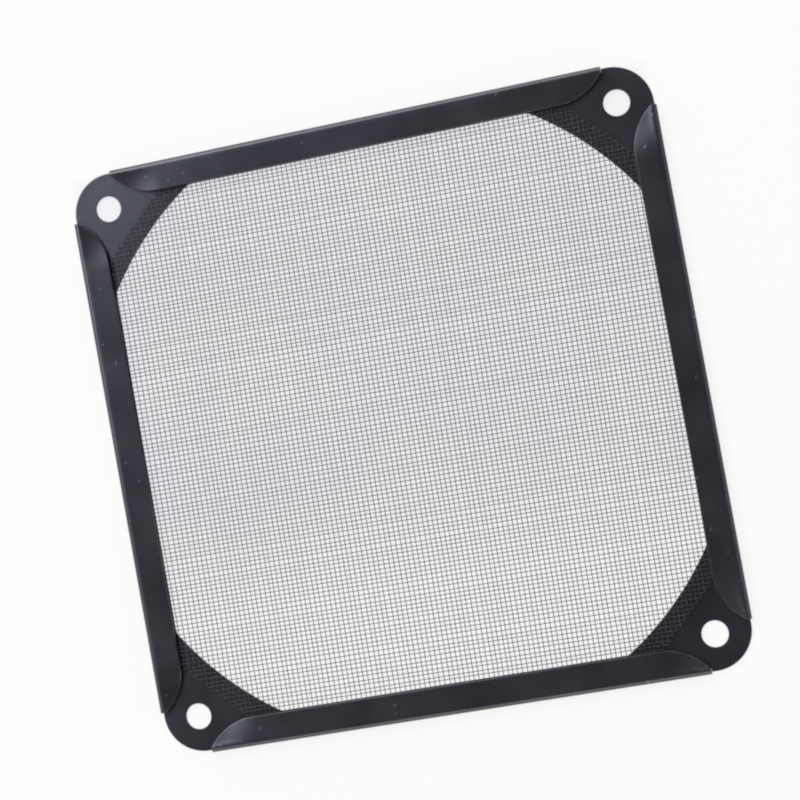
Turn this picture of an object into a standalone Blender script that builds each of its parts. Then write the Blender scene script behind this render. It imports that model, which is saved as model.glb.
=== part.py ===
"""Dust filter for a 120 mm cooling fan: a sheet frame folded over a woven wire mesh.

Metres, +Z up. The part lies on its back plate with its folded flaps facing up. The origin
is at the centre of the back face.
"""

import math

import bmesh
import bpy
from mathutils import Vector

# Screw pattern and outer size
HOLE_PITCH = 0.105          # screw hole to screw hole, along X and along Y
HOLE_DIAMETER = 0.0052      # clears an M4 or a self-tapping fan screw
HOLE_TO_EDGE = 0.0075       # hole centre to the outside of the hem

# Sheet metal
SHEET = 0.0005              # sheet thickness
CORNER_INSET = 0.00035      # corner plates stand this far inside the hems
CORNER_RADIUS = 0.0081      # rounding of the corner plates
CORNER_STUB = 0.00090       # straight edge between the rounding and the relief slit
RELIEF_WIDTH = 0.0002       # slit that frees the end of each fold
FLAP_WIDTH = 0.0059         # outside of the hem to the inner edge of the flap
FLAP_END_RADIUS = 0.0115    # rounded ends of each flap
FOLD_FLARE = 0.0001         # a fold is this much longer at the plate than at the flap
DIP_RUN = 0.0070            # length over which a flap's end sinks to the plate

# Opening
CORNER_LAND = 0.00715       # metal between the round of the opening and a screw hole
OPENING_FILLET = 0.0030     # blend between the round and the straight sides

# Mesh
MESH_THICKNESS = 0.0004     # two wires thick
MESH_EDGE_GAP = 0.0007      # mesh edge to the start of the fold
MESH_OVERLAP = 0.0036       # mesh lying on the plate past the round of the opening
BAND_WIDTH = 0.0022         # one woven band, which stands for a group of wires
BAND_EDGE = 0.00006         # thickness of a band at its edges
GAPS_ALONG_X = 10
GAPS_ALONG_Y = 12

# Fit
CLEARANCE = 0.0003          # between the mesh and the sheet on either side of it

# Smoothness of the curves
FOLD_STEPS = 8
FLAP_END_STEPS = 7
FLAP_ROWS = 4
CORNER_STEPS = 10
FILLET_STEPS = 4
ROUND_STEPS = 14
HOLE_STEPS = 32
SMOOTH_ANGLE = math.radians(35)
QUARTER = math.pi / 2

# Sizes that follow from the ones above
outer_half = HOLE_PITCH / 2 + HOLE_TO_EDGE
pocket = MESH_THICKNESS + 2 * CLEARANCE
total_thickness = 2 * SHEET + pocket
fold_radius = (total_thickness - SHEET) / 2
fold_line = outer_half - total_thickness / 2
flap_inner = outer_half - FLAP_WIDTH
plate_half = outer_half - CORNER_INSET
corner_centre = plate_half - CORNER_RADIUS
relief_outer = corner_centre - CORNER_STUB
fold_end = relief_outer - RELIEF_WIDTH
flap_end = fold_end - FOLD_FLARE
opening_radius = math.hypot(HOLE_PITCH, HOLE_PITCH) / 2 - HOLE_DIAMETER / 2 - CORNER_LAND
mesh_half = fold_line - MESH_EDGE_GAP
mesh_corner_distance = opening_radius + MESH_OVERLAP
mesh_height = SHEET + pocket / 2
dip_start = mesh_corner_distance * math.sqrt(2) - flap_inner + CLEARANCE
dip_depth = pocket - CLEARANCE


def clear_scene():
    for item in list(bpy.data.objects):
        bpy.data.objects.remove(item, do_unlink=True)


def make_material(name, color, metallic, roughness):
    material = bpy.data.materials.new(name)
    material.use_nodes = True
    shader = material.node_tree.nodes["Principled BSDF"]
    shader.inputs["Base Color"].default_value = (*color, 1.0)
    shader.inputs["Metallic"].default_value = metallic
    shader.inputs["Roughness"].default_value = roughness
    return material


def finish_object(name, mesh_data, material):
    bmesh.ops.recalc_face_normals(mesh_data, faces=mesh_data.faces)
    mesh = bpy.data.meshes.new(name)
    mesh_data.to_mesh(mesh)
    mesh_data.free()
    mesh.shade_smooth()
    mesh.set_sharp_from_angle(angle=SMOOTH_ANGLE)
    mesh.materials.append(material)
    item = bpy.data.objects.new(name, mesh)
    bpy.context.scene.collection.objects.link(item)
    return item


def arc(centre, radius, start, end, steps):
    """Points on an arc, both ends included."""
    angles = [start + (end - start) * i / steps for i in range(steps + 1)]
    return [Vector((centre[0] + radius * math.cos(a), centre[1] + radius * math.sin(a))) for a in angles]


def quarter_turn(point, turns):
    """A plan point turned about the centre by whole quarter turns, without rounding error."""
    x, y = point[0], point[1]
    for _ in range(turns % 4):
        x, y = -y, x
    return x, y


def smoothstep(value):
    value = min(max(value, 0.0), 1.0)
    return value * value * (3 - 2 * value)


def flap_stations():
    """Places along one hem as pairs: distance from its middle, and the flap's inner edge there."""
    width = fold_line - flap_inner
    centre_u = flap_end - math.sqrt(width * (2 * FLAP_END_RADIUS - width))
    centre = (centre_u, flap_inner + FLAP_END_RADIUS)
    end_angle = math.atan2(fold_line - centre[1], flap_end - centre_u)
    right = [(p.x, p.y) for p in arc(centre, FLAP_END_RADIUS, end_angle, -QUARTER, FLAP_END_STEPS)]
    left = [(-u, v) for u, v in reversed(right)]
    return right + left


def flap_dip(u, v):
    """How far a flap sinks at one place: its free ends hinge down at the fold, past the mesh."""
    along = smoothstep((abs(u) - dip_start) / DIP_RUN)
    across = (fold_line - v) / (fold_line - flap_inner)
    return dip_depth * along * across


def opening_outline():
    """A square with its corners cut by a circle, each meeting blended."""
    reach = math.sqrt((opening_radius - OPENING_FILLET) ** 2 - (flap_inner - OPENING_FILLET) ** 2)
    inset = flap_inner - OPENING_FILLET
    blend_angle = math.atan2(reach, inset)
    corner = arc((inset, reach), OPENING_FILLET, 0, blend_angle, FILLET_STEPS)[:-1]
    corner += arc((0, 0), opening_radius, blend_angle, QUARTER - blend_angle, ROUND_STEPS)
    corner += arc((reach, inset), OPENING_FILLET, QUARTER - blend_angle, QUARTER, FILLET_STEPS)[1:]
    return [quarter_turn(p, k) for k in range(4) for p in corner]


def hole_outlines():
    half = HOLE_PITCH / 2
    circle = arc((half, half), HOLE_DIAMETER / 2, 0, 2 * math.pi, HOLE_STEPS)[:-1]
    return [[quarter_turn(p, k) for p in circle] for k in range(4)]


def add_loop(mesh_data, verts):
    return [mesh_data.edges.new((a, b)) for a, b in zip(verts, verts[1:] + verts[:1])]


def add_plan_loop(mesh_data, points, height):
    return add_loop(mesh_data, [mesh_data.verts.new((x, y, height)) for x, y in points])


def fold_ring(mesh_data, stations, turns, step):
    """One row of vertices along a hem, part of the way round its fold."""
    angle = math.pi * step / FOLD_STEPS
    stretch = 1 + (fold_end / flap_end - 1) * (1 - step / FOLD_STEPS)
    v = fold_line + fold_radius * math.sin(angle)
    z = total_thickness / 2 - fold_radius * math.cos(angle)
    ring = []
    for u, _ in stations:
        x, y = quarter_turn((u * stretch, v), turns)
        ring.append(mesh_data.verts.new((x, y, z)))
    return ring


def plate_border(mesh_data, stations):
    """The outer edge of the back plate, and the first row of each fold on it."""
    height = SHEET / 2
    border = []
    first_rows = []
    for k in range(4):
        corner = arc((corner_centre, corner_centre), CORNER_RADIUS, 0, QUARTER, CORNER_STEPS)
        before = [(p.x, p.y) for p in corner] + [(relief_outer, plate_half), (relief_outer, fold_line)]
        after = [(-relief_outer, fold_line), (-relief_outer, plate_half)]
        border += [mesh_data.verts.new((*quarter_turn(p, k), height)) for p in before]
        row = fold_ring(mesh_data, stations, k, 0)
        border += row
        first_rows.append(row)
        border += [mesh_data.verts.new((*quarter_turn(p, k), height)) for p in after]
    return border, first_rows


def join_rows(mesh_data, lower, upper):
    for a, b, c, d in zip(lower, lower[1:], upper[1:], upper):
        corners = [vert for i, vert in enumerate((a, b, c, d)) if vert not in (a, b, c, d)[:i]]
        mesh_data.faces.new(corners)


def add_flap(mesh_data, stations, turns, fold_row):
    """The flat of one hem, from its fold to its inner edge. Both ends come to a point."""
    top = total_thickness - SHEET / 2
    lower = fold_row
    for row in range(1, FLAP_ROWS + 1):
        upper = []
        for index, (u, edge) in enumerate(stations):
            if index in (0, len(stations) - 1):
                upper.append(fold_row[index])
                continue
            v = fold_line + (edge - fold_line) * row / FLAP_ROWS
            x, y = quarter_turn((u, v), turns)
            upper.append(mesh_data.verts.new((x, y, top - flap_dip(u, v))))
        join_rows(mesh_data, lower, upper)
        lower = upper


def make_frame(material):
    """The punched and folded sheet, drawn at the middle of its thickness."""
    stations = flap_stations()
    mesh_data = bmesh.new()
    border, first_rows = plate_border(mesh_data, stations)
    edges = add_loop(mesh_data, border)
    edges += add_plan_loop(mesh_data, opening_outline(), SHEET / 2)
    for circle in hole_outlines():
        edges += add_plan_loop(mesh_data, circle, SHEET / 2)
    bmesh.ops.triangle_fill(mesh_data, edges=edges, use_beauty=True, normal=(0, 0, 1))
    for k in range(4):
        row = first_rows[k]
        for step in range(1, FOLD_STEPS + 1):
            next_row = fold_ring(mesh_data, stations, k, step)
            join_rows(mesh_data, row, next_row)
            row = next_row
        add_flap(mesh_data, stations, k, row)
    frame = finish_object("frame", mesh_data, material)
    sheet = frame.modifiers.new("sheet", 'SOLIDIFY')
    sheet.thickness = SHEET
    sheet.offset = 0.0
    sheet.use_even_offset = True
    return frame


def band_lines(gap_count):
    """Places of the bands across the mesh: each has an edge, a crest and an edge."""
    span = 2 * mesh_half - BAND_WIDTH
    lines = []
    for band in range(gap_count + 1):
        middle = span * (band / gap_count - 0.5)
        lines += [middle - BAND_WIDTH / 2, middle, middle + BAND_WIDTH / 2]
    return lines


def weave_heights(column, row):
    """Top and bottom of the weave, from its middle plane, at a crossing of two lines."""
    half = MESH_THICKNESS / 2
    crest = half * 5 / 8
    rise = half - crest
    edge = BAND_EDGE / 2
    along_y = crest if column % 3 == 1 else edge
    along_x = crest if row % 3 == 1 else edge
    lift = rise if (column // 3 + row // 3) % 2 == 0 else -rise
    top = max(lift + along_y, along_x - lift)
    bottom = min(lift - along_y, -along_x - lift)
    return top, bottom


def is_gap(column, row):
    return column % 3 == 2 and row % 3 == 2


def add_weave_faces(mesh_data, tops, bottoms, columns, rows):
    """Upper and lower faces wherever there is a band, and a wall where one ends."""
    def solid(c, r):
        return 0 <= c < columns and 0 <= r < rows and not is_gap(c, r)

    sides = (((0, 0), (1, 0), (0, -1)), ((1, 0), (1, 1), (1, 0)),
             ((1, 1), (0, 1), (0, 1)), ((0, 1), (0, 0), (-1, 0)))
    for c in range(columns):
        for r in range(rows):
            if not solid(c, r):
                continue
            ring = [(c, r), (c + 1, r), (c + 1, r + 1), (c, r + 1)]
            mesh_data.faces.new([tops[key] for key in ring])
            mesh_data.faces.new([bottoms[key] for key in reversed(ring)])
            for first, second, outward in sides:
                if solid(c + outward[0], r + outward[1]):
                    continue
                a = (c + first[0], r + first[1])
                b = (c + second[0], r + second[1])
                mesh_data.faces.new([bottoms[a], bottoms[b], tops[b], tops[a]])


def cut_mesh_corner(mesh_data, turns):
    """Trim one corner at 45 degrees and close the cut bands."""
    x, y = quarter_turn((1, 1), turns)
    outward = Vector((x, y, 0)).normalized()
    geometry = list(mesh_data.verts) + list(mesh_data.edges) + list(mesh_data.faces)
    cut = bmesh.ops.bisect_plane(mesh_data, geom=geometry, plane_co=outward * mesh_corner_distance,
                                 plane_no=outward, clear_outer=True)
    open_edges = [item for item in cut["geom_cut"] if isinstance(item, bmesh.types.BMEdge) and item.is_boundary]
    bmesh.ops.holes_fill(mesh_data, edges=open_edges)


def make_filter_mesh(material):
    """A plain weave of flat bands, fused where they cross, with its corners cut off."""
    xs = band_lines(GAPS_ALONG_X)
    ys = band_lines(GAPS_ALONG_Y)
    mesh_data = bmesh.new()
    tops = {}
    bottoms = {}
    for c, x in enumerate(xs):
        for r, y in enumerate(ys):
            top, bottom = weave_heights(c, r)
            tops[c, r] = mesh_data.verts.new((x, y, mesh_height + top))
            bottoms[c, r] = mesh_data.verts.new((x, y, mesh_height + bottom))
    add_weave_faces(mesh_data, tops, bottoms, len(xs) - 1, len(ys) - 1)
    for k in range(4):
        cut_mesh_corner(mesh_data, k)
    return finish_object("filter_mesh", mesh_data, material)


def main():
    clear_scene()
    anodised = make_material("black_anodised", (0.035, 0.037, 0.042), 0.7, 0.42)
    wire = make_material("black_wire", (0.02, 0.02, 0.022), 0.3, 0.5)
    make_frame(anodised)
    make_filter_mesh(wire)


main()
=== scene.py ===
"""Dust filter for a 120 mm cooling fan: the finished look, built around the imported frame.

The sheet frame is punched as a flat blank, then folded; the filter is a plain weave of
separate wires. Metres, +Z up, the flaps facing up.
"""

import math

import bmesh
import bpy
import numpy as np
from mathutils import Matrix, Vector, noise


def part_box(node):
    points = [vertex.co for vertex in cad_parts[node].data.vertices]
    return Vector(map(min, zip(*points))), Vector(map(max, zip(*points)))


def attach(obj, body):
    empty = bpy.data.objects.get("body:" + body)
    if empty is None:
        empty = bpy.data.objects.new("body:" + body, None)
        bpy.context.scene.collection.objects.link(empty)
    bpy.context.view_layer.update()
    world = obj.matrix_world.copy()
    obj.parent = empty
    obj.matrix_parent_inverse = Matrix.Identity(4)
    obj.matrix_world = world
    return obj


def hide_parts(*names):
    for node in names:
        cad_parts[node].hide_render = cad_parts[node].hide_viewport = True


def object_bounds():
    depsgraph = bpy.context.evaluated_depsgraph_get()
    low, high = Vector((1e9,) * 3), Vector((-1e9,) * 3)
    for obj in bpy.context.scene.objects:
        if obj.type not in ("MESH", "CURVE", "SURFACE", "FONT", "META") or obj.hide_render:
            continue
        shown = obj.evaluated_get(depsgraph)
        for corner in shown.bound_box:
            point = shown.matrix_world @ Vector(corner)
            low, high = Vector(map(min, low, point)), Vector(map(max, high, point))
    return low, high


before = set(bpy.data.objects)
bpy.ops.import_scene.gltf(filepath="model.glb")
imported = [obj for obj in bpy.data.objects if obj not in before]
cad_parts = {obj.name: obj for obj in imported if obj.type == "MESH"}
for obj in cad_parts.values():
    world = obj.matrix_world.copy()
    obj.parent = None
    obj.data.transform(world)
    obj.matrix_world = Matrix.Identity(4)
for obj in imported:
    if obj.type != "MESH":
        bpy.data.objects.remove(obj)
cad_low, cad_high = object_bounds()
sheet_low, sheet_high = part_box("frame")
weave_low, weave_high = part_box("filter_mesh")

MM = 0.001
WEAR_AND_PAINTED_LIGHT_LAYER = "edge_wear_and_painted_light"
QUARTER = math.pi / 2
RANDOM_SEED = 7

# Sheet metal: the sizes of the CAD source, with finer relief slits
SHEET = 0.5 * MM
HOLE_PITCH = 105 * MM
HOLE_RADIUS = 2.6 * MM
CORNER_INSET = 0.35 * MM
CORNER_RADIUS = 8.1 * MM
CORNER_STUB = 0.90 * MM
RELIEF_WIDTH = 0.05 * MM
FLAP_WIDTH = 5.9 * MM
FLAP_END_RADIUS = 11.5 * MM
OPENING_RADIUS = 64.5 * MM
OPENING_FILLET = 3.0 * MM

# Edges and flaps of the sheet
EDGE_ROUND = 0.11 * MM      # rounding of every punched edge
EDGE_SUPPORT = 0.12 * MM    # flat margin that keeps the faces beside it flat
DIP_LEAD = 2.0 * MM         # a flap starts to sink this far before the mesh ends under it
DIP_RUN = 8.0 * MM          # length over which it sinks
DIP_DEPTH = 0.92 * MM       # how far its inner edge sinks
DIP_CURVE = 0.75            # below 1 a flap end bends most near its fold
FLAP_LEAN = 0.18 * MM       # a flap's inner edge lies this much nearer the plate
FLAP_SAG = 0.05 * MM        # how far that edge wanders along its length
FLAP_SAG_WAVES = 55         # waves for each metre
FLAP_SAG_SHIFT = 9.7        # keeps the waves of the four flaps apart
FLAP_SAG_SEED = 0.5
MITRE_LIMIT = 0.3           # keeps a sharp corner from reaching far when it is inset

# Woven wire
WIRE = 0.155 * MM
WIRE_PITCH_X = 0.975 * MM   # between the wires that run along Y
WIRE_PITCH_Y = 0.855 * MM   # between the wires that run along X
DRIFT_X = -0.05             # the pitch opens to one side by this share of itself
DRIFT_Y = -0.025
JITTER_X = 0.052            # uneven spacing, as a share of the pitch
JITTER_Y = 0.088
SKEW = 0.010                # the two sets of wires are not quite square
WANDER = 0.060 * MM         # slow sideways drift of each wire along its length
WANDER_ALONG = 0.045        # noise steps from one crossing to the next
WANDER_ACROSS = 0.37        # noise steps from one wire to the next
WANDER_SEEDS = (0.0, 5.0)   # one for each set of wires
WEAVE_OVERLAP = 3.6 * MM    # mesh past the round of the opening
CREST_SPAN = 0.18           # half the length of a crest, as a share of the pitch
WIRE_SIDES = 6
WIRE_GROUPS = 3

# Smoothness
FOLD_STEPS = 20
CORNER_STEPS = 28
FLAP_END_STEPS = 26
FILLET_STEPS = 8
ROUND_STEPS = 40
HOLE_STEPS = 56
EDGE_STEPS = 4
FLAP_ROWS = 8
END_COLUMN = 0.35 * MM
MIDDLE_COLUMN = 3.0 * MM
SMOOTH_ANGLE = math.radians(40)

# Finish of the sheet: tones are linear, noises have a scale for each metre and a detail
NOISE_MIDDLE = (0.3, 0.7)   # where most values of a noise lie
SHEET_TONES = ((0.0303, 0.0316, 0.0398), (0.0403, 0.0416, 0.0518))
SHEET_ROUGHNESS = (0.28, 0.33)
SHEET_METALLIC = 0.9
CLOUD_NOISE = (90, 3)
GRAIN_NOISE = (5200, 2)
GRAIN_STRENGTH = 0.25
GRAIN_DEPTH = 0.004 * MM
SPECK_SCALE = 190
SPECK_RIM = (0.020, 0.034)  # a mark fades out between these distances from its middle
SPECK_TONE = (0.16, 0.17, 0.19)
STROKE_TURN = math.radians(57)
STROKE_CELL = (7.5 * MM, 1.8 * MM, 7.5 * MM)
STROKE_SCALE = 1            # the cell alone sets the size of a stroke
STROKE_RIM = (0.040, 0.070)
STROKE_TONE = (0.15, 0.16, 0.18)
# Paler flap-end edges: partly rubbing, partly painted light that lightens their shaded walls
RUBBED_AND_PAINTED_LIGHT_NOISE = (420, 3)
RUBBED_AND_PAINTED_LIGHT_SPAN = (0.42, 0.62)  # of the noise, from the faintest to the strongest patches
RUBBED_AND_PAINTED_LIGHT_SHARE = (0.25, 1.0)
RUBBED_AND_PAINTED_LIGHT_TONE = (0.160, 0.163, 0.170)

# Finish of the wires
WIRE_NOISE = (700, 2)
WIRE_TONES = ((0.009, 0.010, 0.013), (0.024, 0.026, 0.032))
WIRE_ROUGHNESS = (0.38, 0.52)
WIRE_METALLIC = 0.1
WIRE_SPECULAR = 0.25

# Paper under the part, with a painted shade under its upper half
PAPER_HALF = 3.0            # half its width, in metres
PAPER_DROP = 0.02 * MM      # keeps the paper clear of the back plate
PAPER_TONE = (0.06, 0.06, 0.06)     # dark, because its own light makes the paper white
PAPER_ROUGHNESS = 0.9
PAPER_GLOW = (0.838, 0.838, 0.838)
SHADE_GLOW = (0.745, 0.755, 0.78)
SHADE_EDGE = (57 * MM, 60 * MM)     # the painted shade ends under the hems
SHADE_RISE = (-34 * MM, -10 * MM)   # and fades out towards the lower side
SHADE_NOISE = (34, 2)
SHADE_CLOUD = (1.35, 0.65)          # strength of the painted shade, from patch to patch

# Lights: name, place, size, power and colour
LIGHTS = (("key", (-0.82, 0.66, 1.07), (1.35, 0.97), 27, (1, 1, 1)),
          ("back", (-0.31, 1.16, 0.66), (1.5, 0.9), 21, (1, 0.95, 0.87)),
          ("front", (-0.17, -1.20, 0.70), (1.2, 0.8), 9, (1, 0.91, 0.74)))
SKY_HEIGHTS = (0.35, 0.95)  # the sky changes between these heights of a unit sphere
SKY_PALE = (2.02, 1.98, 1.89)
SKY_DIM = (0.242, 0.252, 0.285)

# Camera, found from the four screw holes in the photograph
CAMERA_PLACE = Vector((57.8, -6.1, 354.0)) * MM
CAMERA_AIM = Vector((-0.2, 3.2, 0.0)) * MM
CAMERA_UP = Vector((0.1811, 0.9835, 0.0))
FOCAL_PIXELS = 1800
IMAGE_PIXELS = 800
SENSOR = 36.0
CLIP_START = 10 * MM
CLIP_END = 20
FILTER_PIXELS = 2.2         # as soft as the photograph

# Sizes that follow
outer_half = sheet_high.x
total_thickness = sheet_high.z - sheet_low.z
fold_radius = (total_thickness - SHEET) / 2
fold_length = math.pi * fold_radius
fold_line = outer_half - total_thickness / 2
flap_inner = outer_half - FLAP_WIDTH
plate_half = outer_half - CORNER_INSET
corner_centre = plate_half - CORNER_RADIUS
relief_outer = corner_centre - CORNER_STUB
fold_end = relief_outer - RELIEF_WIDTH
blank_edge = 2 * fold_line + fold_length - flap_inner
mesh_half = weave_high.x
mesh_middle = (weave_low.z + weave_high.z) / 2
mesh_cut = (OPENING_RADIUS + WEAVE_OVERLAP) * math.sqrt(2)
dip_start = mesh_cut - flap_inner - DIP_LEAD


def quarter_turn(point, turns):
    """A plan point turned about the centre by whole quarter turns, without rounding error."""
    x, y = point[0], point[1]
    for _ in range(turns % 4):
        x, y = -y, x
    return x, y


def arc(centre, radius, start, end, steps):
    """Plan points on an arc, both ends included."""
    angles = [start + (end - start) * i / steps for i in range(steps + 1)]
    return [(centre[0] + radius * math.cos(a), centre[1] + radius * math.sin(a)) for a in angles]


def smoothstep(value):
    """A soft rise from 0 to 1."""
    value = min(max(value, 0.0), 1.0)
    return value * value * (3 - 2 * value)


def flap_end_curve():
    """The rounded end of a flap in the flat blank, from its fold to its straight edge."""
    width = fold_line - flap_inner
    centre_u = fold_end - math.sqrt(width * (2 * FLAP_END_RADIUS - width))
    centre_v = blank_edge - FLAP_END_RADIUS
    start = math.asin((fold_line + fold_length - centre_v) / FLAP_END_RADIUS)
    return arc((centre_u, centre_v), FLAP_END_RADIUS, start, QUARTER, FLAP_END_STEPS)


def blank_outline():
    """Outside of the flat blank, anticlockwise: four rounded corners and four wings."""
    corner = arc((corner_centre, corner_centre), CORNER_RADIUS, 0, QUARTER, CORNER_STEPS)
    notch = [(relief_outer, plate_half), (relief_outer, fold_line), (fold_end, fold_line)]
    right = notch + flap_end_curve()
    left = [(-u, v) for u, v in reversed(right)]
    return [quarter_turn(p, k) for k in range(4) for p in corner + right + left]


def opening_outline():
    """The opening, clockwise: a square cut by a circle, with each meeting blended."""
    inset = flap_inner - OPENING_FILLET
    reach = math.sqrt((OPENING_RADIUS - OPENING_FILLET) ** 2 - inset ** 2)
    blend = math.atan2(reach, inset)
    corner = arc((inset, reach), OPENING_FILLET, 0, blend, FILLET_STEPS)[:-1]
    corner += arc((0, 0), OPENING_RADIUS, blend, QUARTER - blend, ROUND_STEPS)
    corner += arc((reach, inset), OPENING_FILLET, QUARTER - blend, QUARTER, FILLET_STEPS)[1:]
    loop = [quarter_turn(p, k) for k in range(4) for p in corner]
    return loop[::-1]


def hole_outlines():
    """The four screw holes, clockwise."""
    half = HOLE_PITCH / 2
    circle = arc((half, half), HOLE_RADIUS, 2 * math.pi, 0, HOLE_STEPS)[:-1]
    return [[quarter_turn(p, k) for p in circle] for k in range(4)]


def inset_loop(points, distance):
    """Every corner of a loop moved into the material, which lies on the loop's left."""
    moved = []
    for before, here, after in zip(points[-1:] + points[:-1], points, points[1:] + points[:1]):
        a = (Vector(here) - Vector(before)).normalized()
        b = (Vector(after) - Vector(here)).normalized()
        left = Vector((-a.y - b.y, a.x + b.x)).normalized()
        reach = distance / max(left.dot(Vector((-a.y, a.x))), MITRE_LIMIT)
        moved.append((here[0] + left.x * reach, here[1] + left.y * reach))
    return moved


def edge_profile():
    """Inset and height along a punched edge, from the upper face round to the lower one."""
    upper = [(EDGE_ROUND + EDGE_SUPPORT, SHEET)]
    for step in range(EDGE_STEPS + 1):
        angle = QUARTER * step / EDGE_STEPS
        inset = EDGE_ROUND * (1 - math.sin(angle))
        height = SHEET - EDGE_ROUND * (1 - math.cos(angle))
        upper.append((inset, height))
    return upper + [(inset, SHEET - height) for inset, height in reversed(upper)]


def edge_wear_and_painted_light(place):
    """How much paler a punched edge is made: only the rounded flap ends, which get handled, and
    whose shaded walls this lightens as painted light.
    """
    reach = max(abs(place.x), abs(place.y))
    return 1.0 if fold_line + fold_length < reach < blank_edge - EDGE_ROUND else 0.0


def punch_blank():
    """The flat blank as a closed solid with rounded edges."""
    blank = bmesh.new()
    wear_and_painted_light = blank.verts.layers.float.new(WEAR_AND_PAINTED_LIGHT_LAYER)
    upper_edges = []
    lower_edges = []
    for loop in [blank_outline(), opening_outline()] + hole_outlines():
        rings = []
        for inset, height in edge_profile():
            rings.append([blank.verts.new((x, y, height)) for x, y in inset_loop(loop, inset)])
            for vert in rings[-1]:
                # flap-end edges get the mark for rubbing and painted light
                if inset < EDGE_ROUND / 2:
                    vert[wear_and_painted_light] = edge_wear_and_painted_light(vert.co)
        for ring, target in ((rings[0], upper_edges), (rings[-1], lower_edges)):
            target += [blank.edges.new(pair) for pair in zip(ring, ring[1:] + ring[:1])]
        for above, below in zip(rings, rings[1:]):
            for a, b, c, d in zip(above, above[1:] + above[:1], below[1:] + below[:1], below):
                blank.faces.new((a, b, c, d))
    for edges in (upper_edges, lower_edges):
        bmesh.ops.triangle_fill(blank, edges=edges, use_beauty=True, normal=(0, 0, 1))
    return blank


def wing_parts(faces, outward):
    """The faces that reach past the fold line on one side, with their edges and corners."""
    chosen = [f for f in faces if max(v.co.dot(outward) for v in f.verts) > fold_line]
    edges = {e for f in chosen for e in f.edges}
    verts = {v for f in chosen for v in f.verts}
    return chosen + list(edges) + list(verts)


def score(blank, parts, direction, distances):
    """Cut lines across a wing, so that it can bend there."""
    for distance in distances:
        cut = bmesh.ops.bisect_plane(
            blank, geom=parts, plane_co=direction * distance, plane_no=direction)
        parts = cut["geom"]
    return parts


def score_wings(blank):
    """Lines along each fold, rows across each flap, and columns that are close at its ends."""
    row_height = (blank_edge - fold_line - fold_length) / FLAP_ROWS
    rows = [fold_line + fold_length * step / FOLD_STEPS for step in range(FOLD_STEPS + 1)]
    rows += [fold_line + fold_length + row_height * row for row in range(1, FLAP_ROWS)]
    half = list(np.arange(dip_start, fold_end, END_COLUMN))
    half += list(np.arange(0, dip_start, MIDDLE_COLUMN))
    columns = [-c for c in half if c > 0] + half
    for k in range(4):
        outward = Vector((*quarter_turn((0, 1), k), 0))
        sideways = Vector((*quarter_turn((1, 0), k), 0))
        parts = score(blank, wing_parts(blank.faces, outward), outward, rows)
        folded = [f for f in parts if isinstance(f, bmesh.types.BMFace)]
        score(blank, wing_parts(folded, outward), sideways, columns)


def flap_drop(u, v, turns):
    """How far a flap lies below flat: its ends are pressed down, its edge wanders a little."""
    across = (fold_line - v) / (fold_line - flap_inner)
    along = smoothstep((abs(u) - dip_start) / DIP_RUN)
    spot = Vector((u * FLAP_SAG_WAVES, turns * FLAP_SAG_SHIFT, FLAP_SAG_SEED))
    wander = 0.5 + 0.5 * noise.noise(spot)
    lean = (FLAP_LEAN * (1 - along) + FLAP_SAG * wander) * across
    return DIP_DEPTH * along * max(across, 0.0) ** DIP_CURVE + lean


def fold_point(u, v, z, turns):
    """Where a point of the flat blank goes when its wing is folded over."""
    offset = z - SHEET / 2
    run = v - fold_line
    radius = fold_radius - offset
    if run <= fold_length:
        angle = run / fold_radius
        return fold_line + radius * math.sin(angle), total_thickness / 2 - radius * math.cos(angle)
    folded = fold_line - (run - fold_length)
    return folded, total_thickness / 2 + radius - flap_drop(u, folded, turns)


def fold_wings(blank):
    """Bends all four wings of the blank over to the front."""
    wing_end = (relief_outer + fold_end) / 2
    for vert in blank.verts:
        for k in range(4):
            u, v = quarter_turn(vert.co, -k)
            if v > fold_line and abs(u) < wing_end:
                folded, height = fold_point(u, v, vert.co.z, k)
                x, y = quarter_turn((u, folded), k)
                vert.co = (x, y, height)
                break


def finish_piece(name, mesh, material, node):
    """Names a piece, gives it its finish, ties it to the frame, and hides its CAD node."""
    mesh.shade_smooth()
    mesh.materials.append(material)
    piece = bpy.data.objects.new(name, mesh)
    bpy.context.scene.collection.objects.link(piece)
    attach(piece, "root")
    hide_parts(node)


def make_sheet_frame(material):
    """The sheet frame: punched flat, scored where it bends, then folded."""
    blank = punch_blank()
    score_wings(blank)
    fold_wings(blank)
    bmesh.ops.recalc_face_normals(blank, faces=blank.faces)
    mesh = bpy.data.meshes.new("folded_frame")
    blank.to_mesh(mesh)
    blank.free()
    finish_piece("folded_frame", mesh, material, "frame")
    mesh.set_sharp_from_angle(angle=SMOOTH_ANGLE)


def wire_places(pitch, drift, jitter, random):
    """Uneven places of one set of wires from one side of the mesh to the other."""
    count = int(2 * mesh_half / pitch)
    steps = 1 + drift * np.linspace(-1, 1, count) + random.normal(0, jitter, count)
    places = np.cumsum(steps)
    places = (places - places[0]) / (places[-1] - places[0])
    return (2 * places - 1) * (mesh_half - WIRE)


def slow_wander(shape, axis, seed):
    """A slow sideways drift for every wire: its own wave along its length."""
    field = np.zeros(shape)
    for i in range(shape[0]):
        for j in range(shape[1]):
            along, wire = (j, i) if axis == 0 else (i, j)
            spot = Vector((along * WANDER_ALONG, wire * WANDER_ACROSS, seed))
            field[i, j] = noise.noise(spot)
    return field * WANDER


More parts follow.
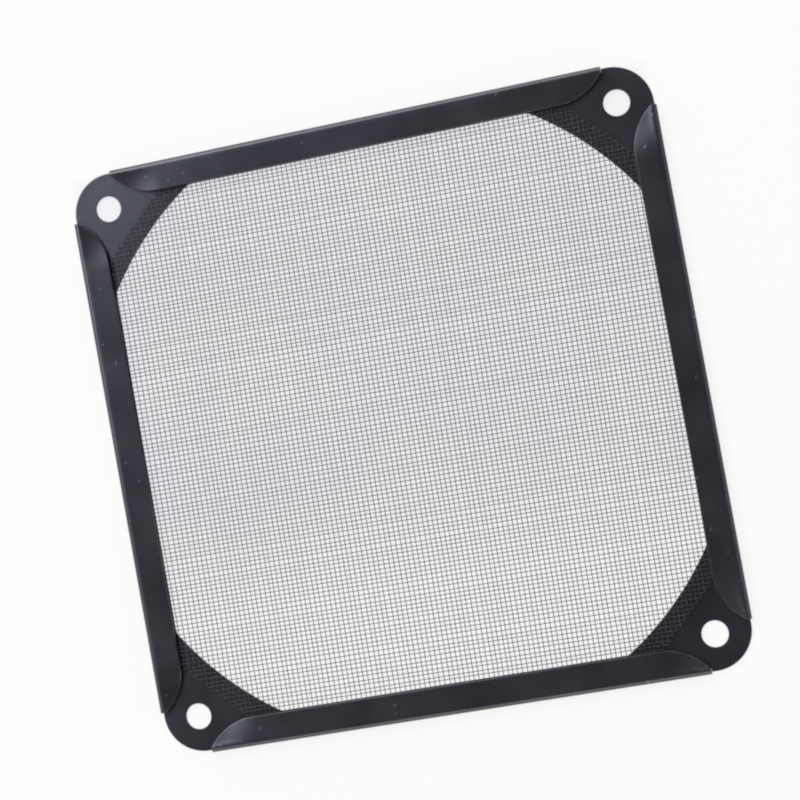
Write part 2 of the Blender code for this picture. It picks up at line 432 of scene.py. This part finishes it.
def crossing_grid(random):
    """Places of all crossings: first index along X, second along Y."""
    xs = wire_places(WIRE_PITCH_X, DRIFT_X, JITTER_X, random)
    ys = wire_places(WIRE_PITCH_Y, DRIFT_Y, JITTER_Y, random)
    grid_x, grid_y = np.meshgrid(xs, ys, indexing="ij")
    shape = grid_x.shape
    skewed_x = grid_x + SKEW * grid_y + slow_wander(shape, 0, WANDER_SEEDS[0])
    skewed_y = grid_y + slow_wander(shape, 1, WANDER_SEEDS[1])
    return skewed_x, skewed_y


def outline_excess(points):
    """How far points lie outside the mesh's outline: below zero is inside."""
    x = np.abs(points[:, 0])
    y = np.abs(points[:, 1])
    return np.maximum(np.maximum(x, y) - mesh_half + WIRE / 2, (x + y - mesh_cut) / math.sqrt(2))


def trim_to_outline(points, fray):
    """The stretch of a wire inside the outline, with its cut ends on it."""
    excess = outline_excess(points) + fray
    inside = np.flatnonzero(excess < 0)
    if len(inside) < 2:
        return None
    first, last = inside[0], inside[-1]
    kept = points[first:last + 1]
    if first > 0:
        share = excess[first] / (excess[first] - excess[first - 1])
        kept = np.vstack([points[first] + share * (points[first - 1] - points[first]), kept])
    if last < len(points) - 1:
        share = excess[last] / (excess[last] - excess[last + 1])
        kept = np.vstack([kept, points[last] + share * (points[last + 1] - points[last])])
    return kept


def wire_path(xs, ys, signs):
    """A crimped line through a wire's crossings, flat for a moment over each one."""
    crossings = np.stack([xs, ys, mesh_middle + signs * WIRE / 2], axis=1)
    back = np.vstack([crossings[:1], crossings[:-1]])
    ahead = np.vstack([crossings[1:], crossings[-1:]])
    before = crossings + (back - crossings) * CREST_SPAN
    after = crossings + (ahead - crossings) * CREST_SPAN
    before[:, 2] = crossings[:, 2]
    after[:, 2] = crossings[:, 2]
    return np.stack([before, after], axis=1).reshape(-1, 3)


def wire_tube(path):
    """Rings of points round a path: one row for each place along it."""
    tangents = np.gradient(path, axis=0)
    tangents /= np.linalg.norm(tangents, axis=1, keepdims=True)
    sideways = np.cross(tangents, (0, 0, 1))
    sideways /= np.linalg.norm(sideways, axis=1, keepdims=True)
    upward = np.cross(sideways, tangents)
    angles = 2 * math.pi * np.arange(WIRE_SIDES) / WIRE_SIDES
    ring = np.cos(angles)[None, :, None] * sideways[:, None, :]
    ring = ring + np.sin(angles)[None, :, None] * upward[:, None, :]
    return path[:, None, :] + ring * WIRE / 2


def tube_faces(rings, start):
    """Quads along a tube and a cap at each end."""
    row = np.arange(rings - 1)[:, None] * WIRE_SIDES
    side = np.arange(WIRE_SIDES)[None, :]
    after = (side + 1) % WIRE_SIDES
    quads = [row + side, row + after, row + after + WIRE_SIDES, row + side + WIRE_SIDES]
    faces = (np.stack(quads, axis=2).reshape(-1, 4)[:, ::-1] + start).tolist()
    last = start + (rings - 1) * WIRE_SIDES
    faces.append(list(range(start, start + WIRE_SIDES)))
    faces.append(list(range(last + WIRE_SIDES - 1, last - 1, -1)))
    return faces


def make_wires(name, paths, material):
    """One piece from a group of wires."""
    verts = []
    faces = []
    start = 0
    for path in paths:
        verts.append(wire_tube(path).reshape(-1, 3))
        faces += tube_faces(len(path), start)
        start += len(verts[-1])
    mesh = bpy.data.meshes.new(name)
    mesh.from_pydata(np.vstack(verts).tolist(), [], faces)
    mesh.update()
    finish_piece(name, mesh, material, "filter_mesh")


def make_weave(material):
    """Both sets of wires, each passing over and under the other in turn."""
    random = np.random.default_rng(RANDOM_SEED)
    grid_x, grid_y = crossing_grid(random)
    along_x, along_y = np.indices(grid_x.shape)
    signs = np.where((along_x + along_y) % 2 == 0, 1.0, -1.0)
    sets = (("upright", zip(grid_x, grid_y, signs)),
            ("cross", zip(grid_x.T, grid_y.T, -signs.T)))
    for set_name, wires in sets:
        paths = []
        for xs, ys, wire_signs in wires:
            path = trim_to_outline(wire_path(xs, ys, wire_signs), random.uniform(0, WIRE))
            if path is not None:
                paths.append(path)
        for group in range(WIRE_GROUPS):
            first = group * len(paths) // WIRE_GROUPS
            last = (group + 1) * len(paths) // WIRE_GROUPS
            make_wires(f"{set_name}_wires_{group + 1}", paths[first:last], material)


def new_material(name):
    """A material with its nodes and links."""
    material = bpy.data.materials.new(name)
    material.use_nodes = True
    return material, material.node_tree.nodes, material.node_tree.links


def add_noise(nodes, links, vector, pattern):
    """A cloudy texture with values from 0 to 1."""
    texture = nodes.new("ShaderNodeTexNoise")
    texture.inputs["Scale"].default_value, texture.inputs["Detail"].default_value = pattern
    links.new(vector, texture.inputs["Vector"])
    return texture.outputs["Fac"]


def add_range(nodes, links, value, source, target):
    """A value carried over from one range to another, and held inside it."""
    ranged = nodes.new("ShaderNodeMapRange")
    ranged.inputs["From Min"].default_value, ranged.inputs["From Max"].default_value = source
    ranged.inputs["To Min"].default_value, ranged.inputs["To Max"].default_value = target
    links.new(value, ranged.inputs["Value"])
    return ranged.outputs["Result"]


def add_math(nodes, links, operation, *values):
    """One sum, product or other operation on node outputs."""
    math_node = nodes.new("ShaderNodeMath")
    math_node.operation = operation
    for value, socket in zip(values, math_node.inputs):
        links.new(value, socket)
    return math_node.outputs["Value"]


def add_mix(nodes, links, factor, first, second):
    """A colour mix: each side is a colour or another node's output."""
    mix = nodes.new("ShaderNodeMix")
    mix.data_type = 'RGBA'
    links.new(factor, mix.inputs["Factor"])
    for name, value in (("A", first), ("B", second)):
        socket = next(s for s in mix.inputs if s.name == name and s.type == 'RGBA')
        if isinstance(value, tuple):
            socket.default_value = (*value, 1.0)
        else:
            links.new(value, socket)
    return next(s for s in mix.outputs if s.type == 'RGBA')


def add_marks(nodes, links, vector, scale, rim):
    """Small marks, one in each cell of a texture: 1 on a mark and 0 off it."""
    cells = nodes.new("ShaderNodeTexVoronoi")
    cells.inputs["Scale"].default_value = scale
    links.new(vector, cells.inputs["Vector"])
    return add_range(nodes, links, cells.outputs["Distance"], rim, (1, 0))


def sheet_color(nodes, links, place, cloud):
    """Faintly cloudy black with pale specks and strokes, flap ends paler: rubbing and painted
    light.
    """
    clouded = add_range(nodes, links, cloud, NOISE_MIDDLE, (0, 1))
    color = add_mix(nodes, links, clouded, *SHEET_TONES)
    specks = add_marks(nodes, links, place, SPECK_SCALE, SPECK_RIM)
    color = add_mix(nodes, links, specks, color, SPECK_TONE)
    stretched = nodes.new("ShaderNodeMapping")
    stretched.vector_type = 'TEXTURE'
    stretched.inputs["Rotation"].default_value = (0, 0, STROKE_TURN)
    stretched.inputs["Scale"].default_value = STROKE_CELL
    links.new(place, stretched.inputs["Vector"])
    strokes = add_marks(nodes, links, stretched.outputs["Vector"], STROKE_SCALE, STROKE_RIM)
    color = add_mix(nodes, links, strokes, color, STROKE_TONE)
    # Painted light and rubbing: the flap-end walls are made paler
    rubbed_and_painted_light = nodes.new("ShaderNodeAttribute")
    rubbed_and_painted_light.attribute_name = WEAR_AND_PAINTED_LIGHT_LAYER
    uneven = add_noise(nodes, links, place, RUBBED_AND_PAINTED_LIGHT_NOISE)
    patchy = add_range(nodes, links, uneven, RUBBED_AND_PAINTED_LIGHT_SPAN, RUBBED_AND_PAINTED_LIGHT_SHARE)
    worn_and_painted_light = add_math(nodes, links, 'MULTIPLY', rubbed_and_painted_light.outputs["Fac"], patchy)
    return add_mix(nodes, links, worn_and_painted_light, color, RUBBED_AND_PAINTED_LIGHT_TONE)


def anodised_sheet():
    """Black anodised aluminium: satin, with a fine grain."""
    material, nodes, links = new_material("anodised_sheet")
    shader = nodes["Principled BSDF"]
    place = nodes.new("ShaderNodeTexCoord").outputs["Object"]
    cloud = add_noise(nodes, links, place, CLOUD_NOISE)
    links.new(sheet_color(nodes, links, place, cloud), shader.inputs["Base Color"])
    roughness = add_range(nodes, links, cloud, NOISE_MIDDLE, SHEET_ROUGHNESS)
    links.new(roughness, shader.inputs["Roughness"])
    shader.inputs["Metallic"].default_value = SHEET_METALLIC
    bump = nodes.new("ShaderNodeBump")
    bump.inputs["Strength"].default_value = GRAIN_STRENGTH
    bump.inputs["Distance"].default_value = GRAIN_DEPTH
    links.new(add_noise(nodes, links, place, GRAIN_NOISE), bump.inputs["Height"])
    links.new(bump.outputs["Normal"], shader.inputs["Normal"])
    return material


def coated_wire():
    """Black coated wire with a slightly uneven skin."""
    material, nodes, links = new_material("coated_wire")
    shader = nodes["Principled BSDF"]
    place = nodes.new("ShaderNodeTexCoord").outputs["Object"]
    uneven = add_noise(nodes, links, place, WIRE_NOISE)
    share = add_range(nodes, links, uneven, NOISE_MIDDLE, (0, 1))
    links.new(add_mix(nodes, links, share, *WIRE_TONES), shader.inputs["Base Color"])
    roughness = add_range(nodes, links, uneven, NOISE_MIDDLE, WIRE_ROUGHNESS)
    links.new(roughness, shader.inputs["Roughness"])
    shader.inputs["Metallic"].default_value = WIRE_METALLIC
    shader.inputs["Specular IOR Level"].default_value = WIRE_SPECULAR
    return material


def paper_glow(nodes, links):
    """The paper's own light: even, with a painted shade a little dimmer under the part's upper
    half.
    """
    place = nodes.new("ShaderNodeTexCoord").outputs["Object"]
    split = nodes.new("ShaderNodeSeparateXYZ")
    links.new(place, split.inputs["Vector"])
    across = add_math(nodes, links, 'ABSOLUTE', split.outputs["X"])
    along = add_math(nodes, links, 'ABSOLUTE', split.outputs["Y"])
    reach = add_math(nodes, links, 'MAXIMUM', across, along)
    under = add_range(nodes, links, reach, SHADE_EDGE, (1, 0))
    upper = add_range(nodes, links, split.outputs["Y"], SHADE_RISE, (0, 1))
    cloud = add_noise(nodes, links, place, SHADE_NOISE)
    patches = add_range(nodes, links, cloud, NOISE_MIDDLE, SHADE_CLOUD)
    cloudy = add_math(nodes, links, 'MULTIPLY', upper, patches)
    # painted shade of the part on the glowing paper
    shade = add_math(nodes, links, 'MULTIPLY', under, cloudy)
    return add_mix(nodes, links, shade, PAPER_GLOW, SHADE_GLOW)


def paper():
    """Matt white paper, lit from inside so that it stays even, apart from a painted shade."""
    material, nodes, links = new_material("paper")
    shader = nodes["Principled BSDF"]
    shader.inputs["Base Color"].default_value = (*PAPER_TONE, 1)
    shader.inputs["Roughness"].default_value = PAPER_ROUGHNESS
    shader.inputs["Specular IOR Level"].default_value = 0.0
    links.new(paper_glow(nodes, links), shader.inputs["Emission Color"])
    shader.inputs["Emission Strength"].default_value = 1.0
    return material


def make_floor():
    """A large sheet of paper under the part."""
    mesh = bpy.data.meshes.new("floor")
    corners = [quarter_turn((PAPER_HALF, PAPER_HALF), k) for k in range(4)]
    height = cad_low.z - PAPER_DROP
    mesh.from_pydata([(x, y, height) for x, y in corners], [], [(0, 1, 2, 3)])
    mesh.materials.append(paper())
    floor = bpy.data.objects.new("floor", mesh)
    bpy.context.scene.collection.objects.link(floor)


def add_light(name, place, size, power, color):
    """A soft rectangular light that faces the part."""
    data = bpy.data.lights.new(name, 'AREA')
    data.shape = 'RECTANGLE'
    data.size, data.size_y = size
    data.energy = power
    data.color = color
    light = bpy.data.objects.new(name, data)
    light.location = place
    light.rotation_mode = 'QUATERNION'
    light.rotation_quaternion = (-Vector(place)).to_track_quat('-Z', 'Y')
    bpy.context.scene.collection.objects.link(light)


def light_studio():
    """Soft lights from the left, back and front; a sky pale at the horizon and dim overhead."""
    for light in LIGHTS:
        add_light(*light)
    world = bpy.data.worlds.new("studio")
    bpy.context.scene.world = world
    world.use_nodes = True
    nodes, links = world.node_tree.nodes, world.node_tree.links
    split = nodes.new("ShaderNodeSeparateXYZ")
    links.new(nodes.new("ShaderNodeTexCoord").outputs["Generated"], split.inputs["Vector"])
    height = add_range(nodes, links, split.outputs["Z"], SKY_HEIGHTS, (0, 1))
    sky = add_mix(nodes, links, height, SKY_PALE, SKY_DIM)
    links.new(sky, nodes["Background"].inputs["Color"])
    nodes["Background"].inputs["Strength"].default_value = 1.0


def place_camera():
    """The photograph's point of view."""
    data = bpy.data.cameras.new("camera")
    data.sensor_width = SENSOR
    data.lens = SENSOR * FOCAL_PIXELS / IMAGE_PIXELS
    data.clip_start = CLIP_START
    data.clip_end = CLIP_END
    camera = bpy.data.objects.new("camera", data)
    back = (CAMERA_PLACE - CAMERA_AIM).normalized()
    right = CAMERA_UP.cross(back).normalized()
    up = back.cross(right)
    turn = Matrix((right, up, back)).transposed().to_4x4()
    camera.matrix_world = Matrix.Translation(CAMERA_PLACE) @ turn
    bpy.context.scene.collection.objects.link(camera)
    bpy.context.scene.camera = camera


make_sheet_frame(anodised_sheet())
make_weave(coated_wire())
make_floor()
light_studio()
place_camera()
bpy.context.scene.view_settings.view_transform = 'Standard'
bpy.context.scene.cycles.filter_width = FILTER_PIXELS
